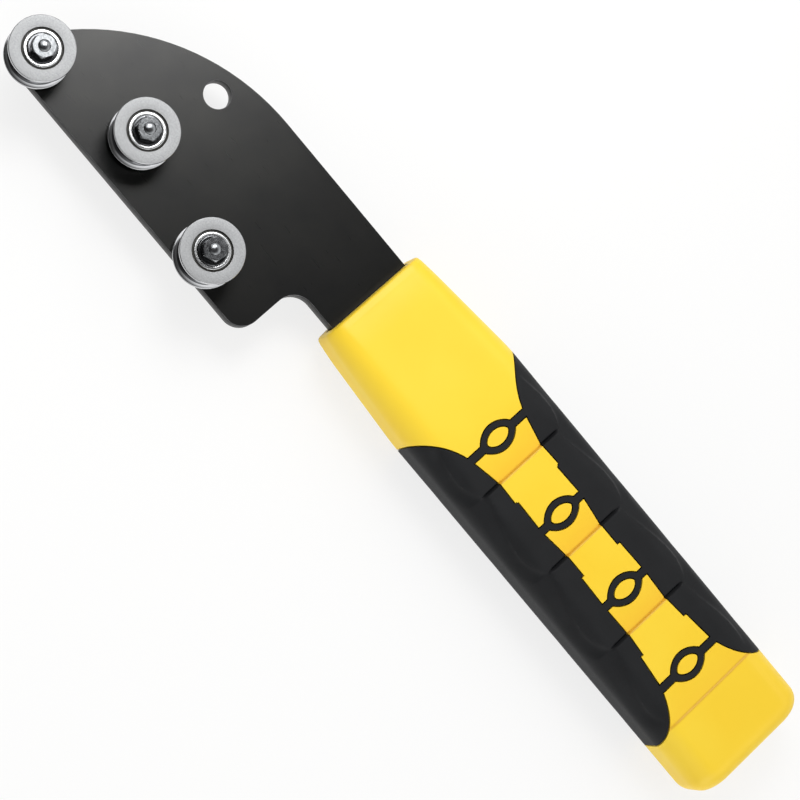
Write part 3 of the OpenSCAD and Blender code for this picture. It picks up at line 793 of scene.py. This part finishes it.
def make_roller(side, finishes):
    """One grooved bearing on its stud, with its nuts, rings and shields."""
    low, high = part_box(f"{side}_roller")
    centre = (low + high) / 2 / MM
    ring = turned(roller_profile(), centre)
    rim, ground, seam, groove = range(4)
    for face in ring.faces:
        middle = face.calc_center_median() - centre
        reach = math.hypot(middle.x, middle.y)
        if abs(face.normal.z) > LEVEL and reach > SHIELD_R:
            face.material_index = ground
        # Painted shade: the seat at the shield's edge gets the dark seam finish.
        elif abs(reach - SHIELD_R) < SEAT_BAND:
            face.material_index = seam
        elif SHIELD_R < reach < ROLLER_R - RIM_BAND:
            face.material_index = groove
        else:
            face.material_index = rim
    body = f"{side}_roller"
    piece(f"{side}_roller_ring", ring, body, f"{side}_roller",
          [finishes["rim"], ground_bearing_steel(side, centre * MM), finishes["seam"],
           finishes["groove"]])
    for name, up in (("upper", 1), ("lower", -1)):
        cover = turned(shield_profile(up), centre)
        for face in cover.faces:
            middle = face.calc_center_median() - centre
            # Painted shade: the shield's sunk rim gets the dark seam finish.
            sunk = abs(middle.z) < ROLLER_W / 2 - SHIELD_T
            at_rim = math.hypot(middle.x, middle.y) > SHIELD_R - SHADE_BAND
            face.material_index = int(sunk and at_rim)
        piece(f"{side}_{name}_shield_pressed", cover, body,
              f"{side}_{name}_shield", [finishes["shield"], finishes["seam"]])
    # The inner ring takes the same darkened steel, as painted shade round the nuts.
    piece(f"{side}_inner_ring_ground", turned(inner_ring_profile(), centre), "frame",
          f"{side}_inner_ring", [finishes["groove"]])
    low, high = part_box(f"{side}_stud")
    stud = turned(stud_profile(low.z / MM, high.z / MM), (centre.x, centre.y, 0), closed=False)
    piece(f"{side}_stud_turned", stud, "frame", f"{side}_stud", [finishes["zinc"]])
    for nut, slot, zinc in (("end_nut", "stud_steel", "zinc"),
                            ("spacer_nut", "nut_zinc", "yellow_zinc")):
        piece(f"{side}_{nut}_faced", node_copy(f"{side}_{nut}", NUT_EDGE, 20), "frame",
              f"{side}_{nut}", [finishes[zinc]], plates=True)
    for part in ("balls", "ball_cages"):
        mesh = cad_nodes[f"{side}_{part}"].data
        mesh.materials.clear()
        mesh.materials.append(finishes[part])


# ---- The object ----

roller_finishes = {
    "rim": polished_bearing_steel(),
    "groove": painted_shade_steel(),
    "seam": painted_seam_shade(),
    "shield": pressed_steel_sheet(),
    "zinc": bright_zinc_plate(),
    "yellow_zinc": yellow_zinc_plate(),
    "balls": mirror_ball_steel(),
    "ball_cages": natural_nylon(),
}
piece("blade_plate", node_copy("blade", BLADE_EDGE, 50, edge_slot=1, wall_slot=2), "frame",
      "blade", [black_oxide_steel(), worn_oxide_edge(), sheared_wall_painted_shade()],
      smooth_deg=30, plates=True)
for side in SIDES:
    make_roller(side, roller_finishes)
make_handle(moulded_polypropylene(), moulded_rubber())


# ---- Floor, lights and camera ----

FLOOR_GAP = 0.0002
SHADOW_SHARE = 0.22


def white_floor():
    """Matt white paper: white to the camera and in mirrors, with soft shadows of the
    object; clear from below, so that the underside of the tool shows."""
    made = bpy.data.materials.new("white_floor")
    made.use_nodes = True
    tree = made.node_tree
    shader = fill(tree.nodes["Principled BSDF"], {
        "Base Color": linear("#F4F4F2"), "Roughness": 0.9})
    path = put(tree, "ShaderNodeLightPath").outputs
    seen = path["Is Camera Ray"]
    for ray in ("Is Glossy Ray", "Is Transmission Ray"):
        seen = put(tree, "ShaderNodeMath", {0: seen, 1: path[ray]}, operation="MAXIMUM").outputs[0]
    share = put(tree, "ShaderNodeMath", {0: seen, 1: 1 - SHADOW_SHARE}, operation="MULTIPLY")
    glow = put(tree, "ShaderNodeEmission", {"Color": (1, 1, 1, 1), "Strength": 1.0})
    top = put(tree, "ShaderNodeMixShader", {
        "Fac": share.outputs[0], 1: shader.outputs[0], 2: glow.outputs[0]})
    below = put(tree, "ShaderNodeNewGeometry").outputs["Backfacing"]
    clear = put(tree, "ShaderNodeBsdfTransparent").outputs[0]
    both = put(tree, "ShaderNodeMixShader", {"Fac": below, 1: top.outputs[0], 2: clear})
    fill(tree.nodes["Material Output"], {"Surface": both.outputs[0]})
    return made


floor_bm = bmesh.new()
bmesh.ops.create_grid(floor_bm, x_segments=1, y_segments=1, size=3)
bmesh.ops.translate(floor_bm, vec=(0, 0, cad_box[0].z - FLOOR_GAP), verts=floor_bm.verts)
floor = loose(floor_bm, "floor")
floor.data.materials.append(white_floor())


def softbox(name, direction, distance, size, watts, mirrored=True):
    """A square studio light that points at the middle of the tool; one that isn't mirrored
    leaves no gleam on the steel."""
    aim = Vector((0.06, -0.01, 0))
    made = bpy.data.objects.new(name, bpy.data.lights.new(name, "AREA"))
    made.data.shape, made.data.size, made.data.energy = "SQUARE", size, watts
    away = Vector(direction).normalized()
    made.matrix_world = Matrix.Translation(aim + away * distance) @ away.to_track_quat(
        "Z", "Y").to_matrix().to_4x4()
    made.visible_glossy = mirrored
    scene.collection.objects.link(made)


softbox("key", (-0.55, 0.35, 0.75), 0.9, 0.8, 2.85)
softbox("flank_fill", (-0.15, -0.95, 0.22), 0.8, 0.5, 1.4, mirrored=False)
softbox("low_card", (0.75, -0.62, 0.22), 0.8, 0.5, 1.5)
softbox("blade_gleam", (-0.17, 0.14, 0.35), 0.42, 0.17, 0.72)

studio = bpy.data.worlds.new("studio")
scene.world = studio
studio.use_nodes = True
sky = studio.node_tree
direction = put(sky, "ShaderNodeTexCoord").outputs["Generated"]
height = put(sky, "ShaderNodeSeparateXYZ", {0: direction}).outputs["Z"]
across = put(sky, "ShaderNodeVectorMath", {0: direction, 1: (0.75, 0.45, 0)},
             operation="DOT_PRODUCT").outputs["Value"]
brightness = 1.0
for value, start, end, at_start, at_end in (
        (height, 0.1, 0.6, 0.1, 1.5),        # brighter from the horizon up
        (across, -0.45, 0.25, 0.08, 1.0),    # darker on the camera's left
        (height, 0.72, 0.92, 1.0, 0.06)):    # dark overhead, for the blade's shading
    share = put(sky, "ShaderNodeMapRange", {
        "Value": value, "From Min": start, "From Max": end, "To Min": at_start,
        "To Max": at_end}).outputs["Result"]
    brightness = put(sky, "ShaderNodeMath", {0: brightness, 1: share},
                     operation="MULTIPLY").outputs[0]
seen = put(sky, "ShaderNodeLightPath").outputs["Is Camera Ray"]
strength = put(sky, "ShaderNodeMix", {"Factor": seen, "A": brightness, "B": 1.0},
               data_type="FLOAT").outputs[0]
fill(sky.nodes["Background"], {"Color": (1, 1, 1, 1), "Strength": strength})

# The photograph's viewpoint, fitted to the rollers, the hanging hole and the handle's ends.
camera = bpy.data.objects.new("camera", bpy.data.cameras.new("camera"))
camera.data.sensor_width, camera.data.lens = 36.0, 122.89
camera.data.clip_start, camera.data.clip_end = 0.05, 20
place = Vector((8.66, -191.35, 630.0)) * MM
right, top = Vector((0.63763, 0.71796, 0.27921)), Vector((-0.76178, 0.64154, 0.09004))
turn = Matrix((right, top, right.cross(top))).transposed()
camera.matrix_world = Matrix.Translation(place) @ turn.to_4x4()
scene.collection.objects.link(camera)
scene.camera = camera
scene.view_settings.view_transform = "Standard"
